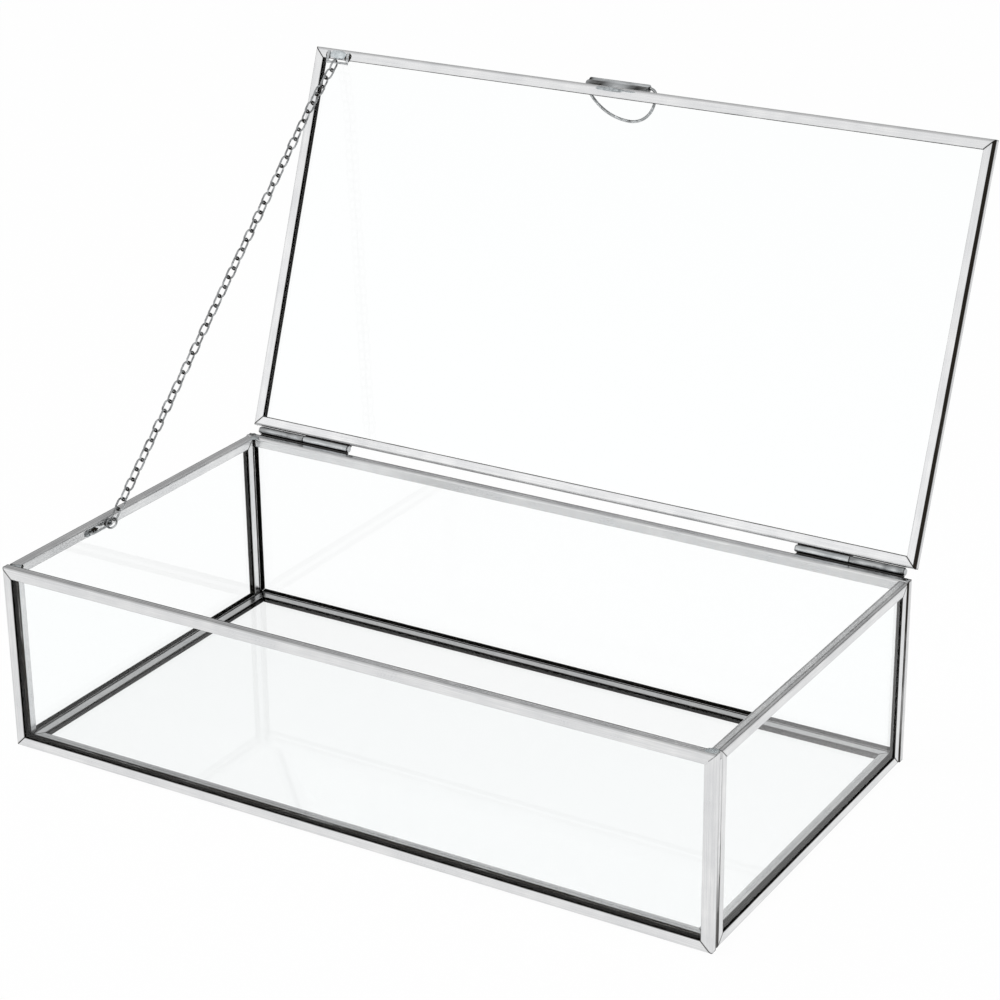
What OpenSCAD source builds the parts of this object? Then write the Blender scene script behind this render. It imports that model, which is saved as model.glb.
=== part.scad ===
// Glass casket box: six panes, each in its own folded and mitred metal strip,
// a lid on two small tube hinges, a ring pull and a link chain that stops the lid.
// Millimetres. X runs left to right, Y front to back, Z up. The base rests on z = 0.

/* [Box] */
// Outside width, left to right
box_width = 300; // [160:1:600]
// Outside depth, front to back
box_depth = 160; // [110:1:320]
// Height of the four walls
box_height = 75; // [45:1:140]
// Angle at which the chain holds the lid
lid_open = 110.5; // [95:0.5:115]
// Air under the closed lid
lid_gap = 0.5; // [0.45:0.05:0.8]

/* [Metal strip] */
// Depth of the strip's two legs over the glass
strip_leg = 4.1; // [3:0.1:8]
// Thickness of the sheet metal
strip_wall = 0.45; // [0.3:0.05:0.6]
// Outer radius of the strip's two folds
fold_radius = 1; // [0.7:0.05:1.4]
// Width of the slit left at each mitre
mitre_slit = 0.2; // [0.05:0.05:0.4]
// Solder seam between neighbouring frames
frame_seam = 0.05; // [0.02:0.01:0.2]

/* [Glass] */
// Thickness of every pane
glass_thickness = 3; // [2:0.1:4]
// Play between pane and strip leg, each side
glass_play = 0.15; // [0.05:0.05:0.3]
// Play between the pane's edge and the bottom of the strip
glass_edge_play = 0.5; // [0.1:0.1:1]

/* [Hinges] */
// Length of one hinge, both knuckles
hinge_length = 44; // [24:1:60]
// From the side of the box to the hinge
hinge_inset = 4; // [2:1:20]
// Outside diameter of the knuckle tube
knuckle_diameter = 3.2; // [2.8:0.1:3.2]
// Air between a knuckle and the lid's strip
knuckle_air = 0.08; // [0.05:0.01:0.2]
// From the top of the wall to the hinge pin
hinge_rise = 1.18; // [1.05:0.01:1.4]
// Diameter of the hinge pin
pin_diameter = 1.8; // [1.2:0.1:2]
// Running clearance round the pin
pin_clearance = 0.05; // [0.02:0.01:0.09]
// Gap between the two knuckles of a hinge
knuckle_gap = 0.2; // [0.1:0.05:0.5]
// Thickness of the pin's peened head
pin_head = 0.4; // [0.2:0.1:0.8]

/* [Ring pull] */
// Length of the tube on the lid's front edge
pull_tube_length = 26.6; // [20:0.1:34]
// Centre of that tube, from the middle of the lid
pull_tube_centre = -8.6; // [-60:0.1:60]
// Outside diameter of that tube
pull_tube_diameter = 3; // [2.6:0.1:3.4]
// Height of the tube's axis above the inner face of the lid
pull_tube_height = 4.5; // [4.2:0.1:5]
// Wire of the ring
pull_wire = 1.2; // [0.9:0.1:1.4]
// Running clearance round the wire
pull_clearance = 0.08; // [0.02:0.01:0.09]
// Bend of the ring at the right end of the tube, at the wire's centre
pull_right_bend = 2.6; // [1.8:0.1:4]
// Bend of the ring at the left end of the tube
pull_left_bend = 1.5; // [1.4:0.1:3]
// Straight stretch below the right bend
pull_drop = 0.6; // [0.1:0.1:2]
// Radius of the ring's lower right side; its left side follows from it
pull_bow = 11.1; // [9.5:0.1:12]
// Bare wire between the tube and each bend
pull_bare = 0.15; // [0.1:0.05:1]

/* [Chain] */
// Wire of one link
link_wire = 0.8; // [0.6:0.05:0.9]
// Width of one link
link_width = 4.1; // [3.8:0.1:4.3]
// Air between two links where they hook
link_air = 0.1; // [0.05:0.01:0.15]
// Links in each of the chain's five lengths
links_per_length = 10; // [6:2:14]
// How far the chain's top end bows up from the straight line
chain_bow = 2.2; // [0:0.1:4]
// Outside diameter of the jump ring at the chain's lower end
jump_ring = 5.2; // [5:0.1:5.6]

/* [Staples] */
// Wire of the two staples
staple_wire = 0.9; // [0.7:0.1:1]
// Length of the lid's staple
lid_staple_length = 10.5; // [8:0.5:14]
// Centre of the lid's staple, from the side of the lid
lid_staple_inset = 11.6; // [10:0.1:20]
// From the leg of the lid's front strip to the staple's bar
lid_staple_reach = 1.6; // [1.2:0.1:2]
// Height of that bar off the lid's inner face
lid_staple_height = 1.25; // [1.2:0.05:1.6]
// Thickness of its flattened feet
lid_staple_foot = 0.25; // [0.15:0.05:0.3]
// Length of the wall's staple
wall_staple_length = 13.2; // [8:0.2:20]
// From the front of the box to that staple
wall_staple_inset = 45.5; // [30:0.5:60]
// From the top of the wall to that staple
wall_staple_drop = 2.4; // [1.6:0.1:3]
// Height of its bar off the wall
wall_staple_height = 2.2; // [2.2:0.1:3.2]
// Bend radius of both staples
staple_bend = 0.8; // [0.6:0.05:1]
// Solder left between any two joined pieces
solder_seam = 0.04; // [0.02:0.01:0.08]

/* [Hidden] */
strip_depth = glass_thickness + 2 * glass_play + 2 * strip_wall;
glass_inset = strip_wall + glass_edge_play;
side_length = box_depth - 2 * strip_depth - 2 * frame_seam;
base_width = box_width - 2 * strip_depth - 2 * frame_seam;
lid_under = box_height + lid_gap;

knuckle_radius = knuckle_diameter / 2;
hinge_y = box_depth / 2 + knuckle_radius + knuckle_air;
hinge_z = box_height + hinge_rise;
hinge_x = box_width / 2 - hinge_inset - hinge_length;
knuckle_length = (hinge_length - knuckle_gap) / 2;
pin_bore = pin_diameter + 2 * pin_clearance;

pull_radius = pull_tube_diameter / 2;
pull_y = -box_depth / 2 - pull_radius - solder_seam;
pull_z = lid_under + pull_tube_height;
pull_left = pull_tube_centre - pull_tube_length / 2 - pull_bare;
pull_right = pull_tube_centre + pull_tube_length / 2 + pull_bare;
pull_bow_x = pull_right + pull_right_bend - pull_bow;
pull_bow_z = pull_right_bend + pull_drop;
pull_span = pull_bow_x - pull_left;
pull_sag = pull_bow_z + pull_bow - 2 * pull_left_bend;
pull_reach = (pull_span * pull_span + pull_sag * pull_sag) / (2 * pull_sag);
pull_sweep = pull_reach + pull_left_bend;
pull_turn = atan2(pull_reach - pull_sag, -pull_span);

// A point of the closed lid, in Y and Z, where it comes to when the lid is open
function opened(p) = [
    hinge_y + (p[0] - hinge_y) * cos(lid_open) + (p[1] - hinge_z) * sin(lid_open),
    hinge_z - (p[0] - hinge_y) * sin(lid_open) + (p[1] - hinge_z) * cos(lid_open)
];

// The chain's two ends and its way between them, in Y and Z
lid_bar_y = -box_depth / 2 + strip_leg + lid_staple_reach;
lid_bar_z = lid_under - lid_staple_height;
lid_bar_x = -box_width / 2 + lid_staple_inset;
wall_bar_z = box_height - wall_staple_drop;
wall_bar_x = -box_width / 2 + strip_depth + wall_staple_height;
wall_bar_y = -box_depth / 2 + wall_staple_inset + wall_staple_length - staple_wire - staple_bend - 0.5;
chain_top = opened([lid_bar_y, lid_bar_z]);
chain_foot = [wall_bar_y, wall_bar_z];
chain_way = chain_foot - chain_top;
link_count = 5 * links_per_length;
knee_links = links_per_length / 2;
knee_share = knee_links / link_count;
ring_radius = (jump_ring - link_wire) / 2;
ring_hold = ring_radius - link_wire / 2 - staple_wire * 0.75 - link_air;
bar_hold = (staple_wire + link_wire) / 2 + link_air / 2;
hook = link_wire + link_air;
chain_run = norm(chain_way) + chain_bow * chain_bow / (2 * norm(chain_way) * knee_share * (1 - knee_share));
pitch = (chain_run - ring_radius - ring_hold - link_wire - link_air + bar_hold + hook) / (link_count - 1);
link_length = pitch + 2 * link_wire + link_air;
top_run = knee_links * pitch;
top_turn = asin(chain_bow / top_run);
chain_slope = atan2(-chain_way[1], -chain_way[0]);
top_slope = chain_slope - top_turn;
chain_knee = chain_top - top_run * [cos(top_slope), sin(top_slope)];
low_way = chain_knee - chain_foot;
low_slope = atan2(low_way[1], low_way[0]);

strip_colour = [0.78, 0.78, 0.77];
wire_colour = [0.7, 0.69, 0.67];
glass_colour = [0.85, 0.93, 0.95, 0.35];

// Which piece to make

// Quarter arc as points, for the strip's section
function arc(cx, cy, r, from, to) = [
    for (i = [0:3]) [cx + r * cos(from + (to - from) * i / 3), cy + r * sin(from + (to - from) * i / 3)]
];

// Section of the folded strip: web at x = 0, legs towards +x, round outer and inner folds
module strip_section() {
    inner = fold_radius - strip_wall;
    far = strip_depth - fold_radius;
    polygon(concat(
        [[strip_leg, 0]],
        arc(fold_radius, fold_radius, fold_radius, 270, 180),
        arc(fold_radius, far, fold_radius, 180, 90),
        [[strip_leg, strip_depth], [strip_leg, strip_depth - strip_wall]],
        arc(fold_radius, far, inner, 90, 180),
        arc(fold_radius, fold_radius, inner, 180, 270),
        [[strip_leg, strip_wall]]
    ));
}

// One strip along x, its web on y = 0, with both ends mitred
module strip(length) {
    slit = mitre_slit / 2;
    reach = strip_leg + 1;
    intersection() {
        rotate([90, 0, 90]) linear_extrude(length) strip_section();
        translate([0, 0, -1]) linear_extrude(strip_depth + 2) polygon([
            [slit - 1, -1],
            [length - slit + 1, -1],
            [length - slit - reach, reach],
            [slit + reach, reach]
        ]);
    }
}

// The four strips of a frame that lies in x and y, across by along
module strip_low(across, along) {
    color(strip_colour) strip(across);
}

module strip_high(across, along) {
    color(strip_colour) translate([across, along, 0]) rotate(180) strip(across);
}

module strip_near(across, along) {
    color(strip_colour) translate([0, along, 0]) rotate(-90) strip(along);
}

module strip_far(across, along) {
    color(strip_colour) translate([across, 0, 0]) rotate(90) strip(along);
}

// The pane that fills such a frame
module pane(across, along) {
    color(glass_colour) translate([glass_inset, glass_inset, strip_wall + glass_play])
        cube([across - 2 * glass_inset, along - 2 * glass_inset, glass_thickness]);
}

// Places of the six frames
module at_front() {
    translate([-box_width / 2, -box_depth / 2 + strip_depth, 0]) rotate([90, 0, 0]) children();
}

module at_rear() {
    translate([-box_width / 2, box_depth / 2, 0]) rotate([90, 0, 0]) children();
}

module at_left() {
    translate([-box_width / 2, -side_length / 2, 0]) rotate([90, 0, 90]) children();
}

module at_right() {
    translate([box_width / 2 - strip_depth, -side_length / 2, 0]) rotate([90, 0, 90]) children();
}

module at_base() {
    translate([-base_width / 2, -side_length / 2, 0]) children();
}

module at_lid() {
    open_lid() translate([-box_width / 2, -box_depth / 2, lid_under]) children();
}

// Turns what is modelled on the closed lid to where the open lid has it
module open_lid() {
    translate([0, hinge_y, hinge_z]) rotate([-lid_open, 0, 0]) translate([0, -hinge_y, -hinge_z])
        children();
}

module front_strip_top() at_front() strip_high(box_width, box_height);
module front_strip_bottom() at_front() strip_low(box_width, box_height);
module front_strip_left() at_front() strip_near(box_width, box_height);
module front_strip_right() at_front() strip_far(box_width, box_height);
module front_glass() at_front() pane(box_width, box_height);

module rear_strip_top() at_rear() strip_high(box_width, box_height);
module rear_strip_bottom() at_rear() strip_low(box_width, box_height);
module rear_strip_left() at_rear() strip_near(box_width, box_height);
module rear_strip_right() at_rear() strip_far(box_width, box_height);
module rear_glass() at_rear() pane(box_width, box_height);

module left_strip_top() at_left() strip_high(side_length, box_height);
module left_strip_bottom() at_left() strip_low(side_length, box_height);
module left_strip_front() at_left() strip_near(side_length, box_height);
module left_strip_rear() at_left() strip_far(side_length, box_height);
module left_glass() at_left() pane(side_length, box_height);

module right_strip_top() at_right() strip_high(side_length, box_height);
module right_strip_bottom() at_right() strip_low(side_length, box_height);
module right_strip_front() at_right() strip_near(side_length, box_height);
module right_strip_rear() at_right() strip_far(side_length, box_height);
module right_glass() at_right() pane(side_length, box_height);

module base_strip_front() at_base() strip_low(base_width, side_length);
module base_strip_rear() at_base() strip_high(base_width, side_length);
module base_strip_left() at_base() strip_near(base_width, side_length);
module base_strip_right() at_base() strip_far(base_width, side_length);
module base_glass() at_base() pane(base_width, side_length);

module lid_strip_front() at_lid() strip_low(box_width, box_depth);
module lid_strip_rear() at_lid() strip_high(box_width, box_depth);
module lid_strip_left() at_lid() strip_near(box_width, box_depth);
module lid_strip_right() at_lid() strip_far(box_width, box_depth);
module lid_glass() at_lid() pane(box_width, box_depth);

// What a soldered tube must leave free of a strip whose outer corner is at [y, z]:
// the strip lies towards -y, and towards -z for up = 1 or +z for up = -1
module strip_corner(y, z, up) {
    grown = fold_radius + solder_seam;
    translate([y, z]) scale([1, up]) {
        translate([-fold_radius, -fold_radius]) circle(r = grown, $fn = 32);
        translate([-9, -9]) square([9 + solder_seam, 9 - fold_radius]);
        translate([-9, -9]) square([9 - fold_radius, 9 + solder_seam]);
    }
}

// Knuckle soldered to the top of the rear wall: tube with a fillet that follows the fold
module wall_knuckle() {
    color(strip_colour) rotate([90, 0, 90]) linear_extrude(knuckle_length) difference() {
        union() {
            translate([hinge_y, hinge_z]) circle(d = knuckle_diameter, $fn = 28);
            polygon([
                [hinge_y, hinge_z],
                [hinge_y - knuckle_radius * 0.9, hinge_z - knuckle_radius * 0.44],
                [box_depth / 2 - fold_radius * 0.9, box_height + lid_gap * 0.4],
                [box_depth / 2 - fold_radius, box_height - fold_radius],
                [box_depth / 2 - 0.3, box_height - 2.6],
                [box_depth / 2 + solder_seam + 0.35, box_height - 2.5],
                [hinge_y + knuckle_radius * 0.5, hinge_z - knuckle_radius * 0.86]
            ]);
        }
        strip_corner(box_depth / 2, box_height, 1);
        translate([hinge_y, hinge_z]) circle(d = pin_bore, $fn = 24);
    }
}

// Knuckle soldered to the rear edge of the lid, drawn with the lid closed
module lid_knuckle() {
    color(strip_colour) rotate([90, 0, 90]) linear_extrude(knuckle_length) difference() {
        union() {
            translate([hinge_y, hinge_z]) circle(d = knuckle_diameter, $fn = 28);
            polygon([
                [hinge_y, hinge_z],
                [hinge_y + knuckle_radius * 0.34, hinge_z + knuckle_radius * 0.93],
                [box_depth / 2 + solder_seam + 0.3, lid_under + strip_depth - fold_radius],
                [box_depth / 2 - 0.3, lid_under + strip_depth - fold_radius],
                [box_depth / 2 - 0.3, hinge_z]
            ]);
        }
        strip_corner(box_depth / 2, lid_under, -1);
        translate([hinge_y, hinge_z]) circle(d = pin_bore, $fn = 24);
    }
}

// Pin with a peened head at each end, a little longer than the two knuckles
module hinge_pin() {
    end = pin_clearance + pin_head;
    color(wire_colour) translate([0, hinge_y, hinge_z]) rotate([0, 90, 0]) {
        translate([0, 0, -end]) cylinder(d = pin_diameter, h = hinge_length + 2 * end, $fn = 24);
        translate([0, 0, -end]) cylinder(d = pin_diameter + 0.8, h = pin_head, $fn = 24);
        translate([0, 0, hinge_length + pin_clearance])
            cylinder(d = pin_diameter + 0.8, h = pin_head, $fn = 24);
    }
}

module left_hinge_wall_knuckle() translate([-hinge_x - hinge_length, 0, 0]) wall_knuckle();
module left_hinge_lid_knuckle() open_lid() translate([-hinge_x - knuckle_length, 0, 0]) lid_knuckle();
module left_hinge_pin() translate([-hinge_x - hinge_length, 0, 0]) hinge_pin();
module right_hinge_wall_knuckle() {
    translate([hinge_x + hinge_length - knuckle_length, 0, 0]) wall_knuckle();
}
module right_hinge_lid_knuckle() open_lid() translate([hinge_x, 0, 0]) lid_knuckle();
module right_hinge_pin() translate([hinge_x, 0, 0]) hinge_pin();

// Tube on the lid's front edge, with solder run in under it
module pull_tube() {
    color(strip_colour) open_lid() translate([pull_tube_centre - pull_tube_length / 2, 0, 0])
        rotate([90, 0, 90]) linear_extrude(pull_tube_length) difference() {
            union() {
                translate([pull_y, pull_z]) circle(d = pull_tube_diameter, $fn = 28);
                polygon([
                    [pull_y + pull_radius * 0.75, pull_z + pull_radius * 0.1],
                    [-box_depth / 2 + fold_radius, lid_under + strip_depth - fold_radius],
                    [-box_depth / 2 + 0.3, lid_under + fold_radius],
                    [-box_depth / 2 - solder_seam - 0.3, lid_under + fold_radius],
                    [pull_y - pull_radius * 0.6, pull_z - pull_radius * 0.65]
                ]);
            }
            translate([-box_depth / 2 + fold_radius, lid_under + strip_depth - fold_radius])
                circle(r = fold_radius + solder_seam, $fn = 32);
            translate([-box_depth / 2 - solder_seam, lid_under]) square([4, strip_depth - fold_radius]);
            translate([pull_y, pull_z]) circle(d = pull_wire + 2 * pull_clearance, $fn = 20);
        }
}

// Bend of round wire about the y axis, from one angle on by another
module wire_bend(radius, wire, start, turn, sides) {
    rotate([90, -start, 0]) rotate_extrude(angle = turn, $fn = 36)
        translate([radius, 0]) circle(d = wire, $fn = sides);
}

// Centre line of the bent ring as [x, z, angle of the outward normal], z away from the tube
function ring_bend(x, z, radius, from, to, steps, first = 0) = [
    for (i = [first:steps])
        let (a = from + (to - from) * i / steps)
        [x + radius * cos(a), z + radius * sin(a), a]
];

ring_line = concat(
    ring_bend(pull_right, pull_right_bend, pull_right_bend, -90, 0, 6),
    ring_bend(pull_bow_x, pull_bow_z, pull_bow, 0, 90, 12),
    ring_bend(pull_bow_x, pull_bow_z + pull_bow - pull_sweep, pull_sweep, 90, pull_turn, 9, 1),
    ring_bend(pull_left, pull_left_bend, pull_left_bend, pull_turn, 270, 8, 1)
);

// Ring as it hangs from the open lid: one closed loop of wire, its straight bar in the tube
module pull_ring() {
    sides = 12;
    count = len(ring_line);
    hang = opened([pull_y, pull_z]);
    color(wire_colour) translate([0, hang[0], hang[1]]) rotate([180, 0, 0]) polyhedron(
        points = [
            for (p = ring_line, k = [0:sides - 1])
                let (out = pull_wire / 2 * cos(360 * k / sides), along = pull_wire / 2 * sin(360 * k / sides))
                [p[0] + out * cos(p[2]), along, p[1] + out * sin(p[2])]
        ],
        faces = [
            for (i = [0:count - 1], k = [0:sides - 1], half = [0, 1])
                let (j = (i + 1) % count, m = (k + 1) % sides)
                half == 0
                    ? [i * sides + k, i * sides + m, j * sides + m]
                    : [i * sides + k, j * sides + m, j * sides + k]
        ]
    );
}

// Staple of round wire: a bar along x at z = height, bent down to z = foot at both ends
module staple(length, height, foot) {
    half = length / 2 - staple_wire / 2;
    rotate([0, 90, 0]) translate([-height, 0, staple_bend - half])
        cylinder(d = staple_wire, h = 2 * (half - staple_bend), $fn = 14);
    for (side = [0, 1]) mirror([side, 0, 0]) {
        translate([half - staple_bend, 0, height - staple_bend])
            wire_bend(staple_bend, staple_wire, 0, 90, 14);
        translate([half, 0, foot]) cylinder(d = staple_wire, h = height - staple_bend - foot, $fn = 14);
    }
}

// Staple under the lid's front left corner: thin flat feet on the strip, bar clear of the wall
module lid_staple() {
    foot_top = solder_seam + lid_staple_foot;
    foot_reach = lid_staple_reach + strip_leg * 0.75;
    color(wire_colour) open_lid() translate([lid_bar_x, lid_bar_y, lid_under]) rotate([180, 0, 0]) {
        staple(lid_staple_length, lid_staple_height, foot_top - 0.05);
        for (side = [-1, 1]) translate([side * (lid_staple_length - staple_wire) / 2, 0, 0])
            translate([-staple_wire * 0.7, -staple_wire / 2, solder_seam])
                cube([staple_wire * 1.4, foot_reach + staple_wire / 2, lid_staple_foot]);
    }
}

// Staple on the inside of the left wall's top strip, on two small pads of solder
module wall_staple() {
    middle = -box_depth / 2 + wall_staple_inset + wall_staple_length / 2;
    color(wire_colour) translate([-box_width / 2 + strip_depth, middle, wall_bar_z]) rotate([90, 0, 90]) {
        staple(wall_staple_length, wall_staple_height, solder_seam + 0.1);
        for (side = [-1, 1]) translate([side * (wall_staple_length - staple_wire) / 2, 0, solder_seam])
            cylinder(d1 = staple_wire * 2.4, d2 = staple_wire * 1.3, h = 0.5, $fn = 16);
    }
}

// One link in the x and z plane, its long way along z
module link(length, width) {
    radius = (width - link_wire) / 2;
    straight = length - width;
    for (side = [0, 1]) mirror([0, 0, side]) translate([0, 0, straight / 2]) rotate([90, 0, 0])
        rotate_extrude(angle = 180, $fn = 14) translate([radius, 0]) circle(d = link_wire, $fn = 6);
    for (x = [-radius, radius]) translate([x, 0, -straight / 2])
        linear_extrude(straight) circle(d = link_wire, $fn = 6);
}

// Way from the lid's staple bar to the middle of link i, along the chain
function link_way(i) = (link_length - link_wire) / 2 - bar_hold + i * pitch;

// Slope of the chain there: its top end hangs a little flatter
function way_slope(way) = way < top_run ? top_slope : low_slope;

// Place on the chain at that way, in x, y and z
function way_place(way) =
    let (bend_at = min(way, top_run), x_share = way / norm(chain_way))
    let (past = max(0, way - top_run))
    [
        lid_bar_x + (wall_bar_x + 0.5 - lid_bar_x) * x_share,
        chain_top[0] - bend_at * cos(top_slope) - past * cos(low_slope),
        chain_top[1] - bend_at * sin(top_slope) - past * sin(low_slope)
    ];

// One length of the chain: every second link is turned by a quarter, and the last is the jump ring
module chain_length(number) {
    for (k = [0:links_per_length - 1]) {
        i = (number - 1) * links_per_length + k;
        last = i == link_count - 1;
        way = last ? norm(low_way) + top_run - ring_hold : link_way(i);
        color(wire_colour) translate(way_place(way)) rotate([way_slope(way) - 90, 0, 0])
            if (last)
                rotate([90, 0, 0]) rotate_extrude($fn = 20)
                    translate([ring_radius, 0]) circle(d = link_wire, $fn = 6);
            else
                rotate([0, 0, i % 2 == 0 ? 90 : 0]) link(link_length, link_width);
    }
}

module chain_01() chain_length(1);
module chain_02() chain_length(2);
module chain_03() chain_length(3);
module chain_04() chain_length(4);
module chain_05() chain_length(5);

front_strip_top();
front_strip_bottom();
front_strip_left();
front_strip_right();
front_glass();
rear_strip_top();
rear_strip_bottom();
rear_strip_left();
rear_strip_right();
rear_glass();
left_strip_top();
left_strip_bottom();
left_strip_front();
left_strip_rear();
left_glass();
right_strip_top();
right_strip_bottom();
right_strip_front();
right_strip_rear();
right_glass();
base_strip_front();
base_strip_rear();
base_strip_left();
base_strip_right();
base_glass();
lid_strip_front();
lid_strip_rear();
lid_strip_left();
lid_strip_right();
lid_glass();
left_hinge_wall_knuckle();
left_hinge_lid_knuckle();
left_hinge_pin();
right_hinge_wall_knuckle();
right_hinge_lid_knuckle();
right_hinge_pin();
pull_tube();
pull_ring();
lid_staple();
wall_staple();
chain_01();
chain_02();
chain_03();
chain_04();
chain_05();
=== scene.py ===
"""Looks of the glass casket box: folded and mitred metal strips round six panes of float glass,
a lid held open by a link chain, two soldered tube hinges and a ring pull."""

import math
import random

import bmesh
import bpy
from mathutils import Matrix, Vector, noise


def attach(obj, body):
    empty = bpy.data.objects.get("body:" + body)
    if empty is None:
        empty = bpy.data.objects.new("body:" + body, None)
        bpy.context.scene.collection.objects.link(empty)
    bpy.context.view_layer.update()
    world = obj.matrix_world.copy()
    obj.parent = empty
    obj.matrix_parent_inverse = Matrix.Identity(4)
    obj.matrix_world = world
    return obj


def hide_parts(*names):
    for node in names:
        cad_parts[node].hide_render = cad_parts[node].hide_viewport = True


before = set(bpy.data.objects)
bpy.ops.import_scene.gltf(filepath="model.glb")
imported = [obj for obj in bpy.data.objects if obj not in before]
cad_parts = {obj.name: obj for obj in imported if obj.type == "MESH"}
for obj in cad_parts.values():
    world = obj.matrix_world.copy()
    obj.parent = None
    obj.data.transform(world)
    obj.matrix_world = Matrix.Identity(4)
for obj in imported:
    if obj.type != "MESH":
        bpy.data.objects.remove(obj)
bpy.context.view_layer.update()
MM = 0.001

# Sizes of the part's source, in millimetres
BOX_WIDTH, BOX_DEPTH, BOX_HEIGHT = 300, 160, 75
LID_OPEN, LID_UNDER = 110.5, 75.5
STRIP_LEG, STRIP_WALL, STRIP_DEPTH, FOLD_RADIUS = 4.1, 0.45, 4.2, 1.0
MITRE_SLIT, FRAME_SEAM = 0.2, 0.05
SIDE_LENGTH = BOX_DEPTH - 2 * STRIP_DEPTH - 2 * FRAME_SEAM
BASE_WIDTH = BOX_WIDTH - 2 * STRIP_DEPTH - 2 * FRAME_SEAM
HINGE_Y, HINGE_Z = 81.68, 76.18
HINGE_X, HINGE_LENGTH, KNUCKLE_LENGTH, KNUCKLE_RADIUS, KNUCKLE_BORE = 102, 44, 21.9, 1.6, 0.9504
PULL_Y, PULL_Z = -81.54, 80.0
PULL_CENTRE, PULL_LENGTH, PULL_TUBE_RADIUS, PULL_WIRE, PULL_AIR = -8.6, 26.6, 1.5, 1.2, 0.08
PULL_RIGHT_BEND, PULL_LEFT_BEND, PULL_DROP, PULL_BOW, PULL_BARE = 2.6, 1.5, 0.6, 11.1, 0.15
LINK_WIRE, LINK_WIDTH, LINK_AIR, LINKS_PER_LENGTH, LENGTHS = 0.8, 4.1, 0.1, 10, 5
CHAIN_BOW, KNEE_LINKS, JUMP_RING, CHAIN_FOOT_AIR = 2.2, 5, 5.2, 0.5
STAPLE_WIRE, STAPLE_BEND = 0.9, 0.8
LID_STAPLE_LENGTH, LID_STAPLE_INSET, LID_STAPLE_REACH, LID_STAPLE_HEIGHT = 10.5, 11.6, 1.6, 1.25
WALL_STAPLE_LENGTH, WALL_STAPLE_INSET, WALL_STAPLE_DROP, WALL_STAPLE_HEIGHT = 13.2, 45.5, 2.4, 2.2

# ---------------------------------------------------------------- camera

CAMERA_AT = Vector((0.50330, -0.79371, 0.49885))
CAMERA_AZIMUTH, CAMERA_ELEVATION, CAMERA_ROLL = 31.299, 22.778, -0.616
CAMERA_LENS, CAMERA_SENSOR, CAMERA_REACH = 99.672, 36, 50


def place_camera():
    """The photograph's own view, set from the box's corners."""
    a, e, r = map(math.radians, (CAMERA_AZIMUTH, CAMERA_ELEVATION, CAMERA_ROLL))
    ahead = Vector((-math.sin(a) * math.cos(e), math.cos(a) * math.cos(e), -math.sin(e)))
    level = Vector((math.cos(a), math.sin(a), 0))
    upright = level.cross(ahead)
    right = level * math.cos(r) + upright * math.sin(r)
    up = upright * math.cos(r) - level * math.sin(r)
    turned = Matrix((right, up, -ahead)).transposed().to_4x4()
    camera = bpy.data.objects.new("camera", bpy.data.cameras.new("camera"))
    camera.data.lens = CAMERA_LENS
    camera.data.sensor_width = CAMERA_SENSOR
    camera.data.clip_end = CAMERA_REACH
    camera.matrix_world = Matrix.Translation(CAMERA_AT) @ turned
    bpy.context.scene.collection.objects.link(camera)
    bpy.context.scene.camera = camera


# ---------------------------------------------------------------- materials


def hex_colour(text):
    """An sRGB hex colour as linear RGBA."""
    parts = [int(text[i : i + 2], 16) / 255 for i in (1, 3, 5)]
    return [c / 12.92 if c <= 0.04045 else ((c + 0.055) / 1.055) ** 2.4 for c in parts] + [1]


def add(tree, kind, inputs=None, **settings):
    """Adds a node with its settings, and sets or links its inputs."""
    made = tree.nodes.new(kind)
    for name, value in settings.items():
        setattr(made, name, value)
    for name, value in (inputs or {}).items():
        if isinstance(value, bpy.types.NodeSocket):
            tree.links.new(value, made.inputs[name])
        else:
            made.inputs[name].default_value = value
    return made


def maths(tree, operation, *values, clamp=False):
    """The result of a sum on sockets or numbers."""
    inputs = dict(enumerate(values))
    return add(tree, "ShaderNodeMath", inputs, operation=operation, use_clamp=clamp).outputs[0]


def mix_colours(tree, share, first, second):
    return add(tree, "ShaderNodeMix", {0: share, 6: first, 7: second}, data_type="RGBA").outputs[2]


def mix_shaders(tree, share, first, second):
    inputs = {0: share, 1: first.outputs[0], 2: second.outputs[0]}
    return add(tree, "ShaderNodeMixShader", inputs).outputs[0]


def new_material(name):
    material = bpy.data.materials.new(name)
    material.use_nodes = True
    material.node_tree.nodes.clear()
    return material, material.node_tree


# Black of burnt flux and of painted shade, and how much the slow clouds add to the grain
FLUX_AND_SHADE_BLACK = "#26231F"
CLOUD_SHARE = 0.6


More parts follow.
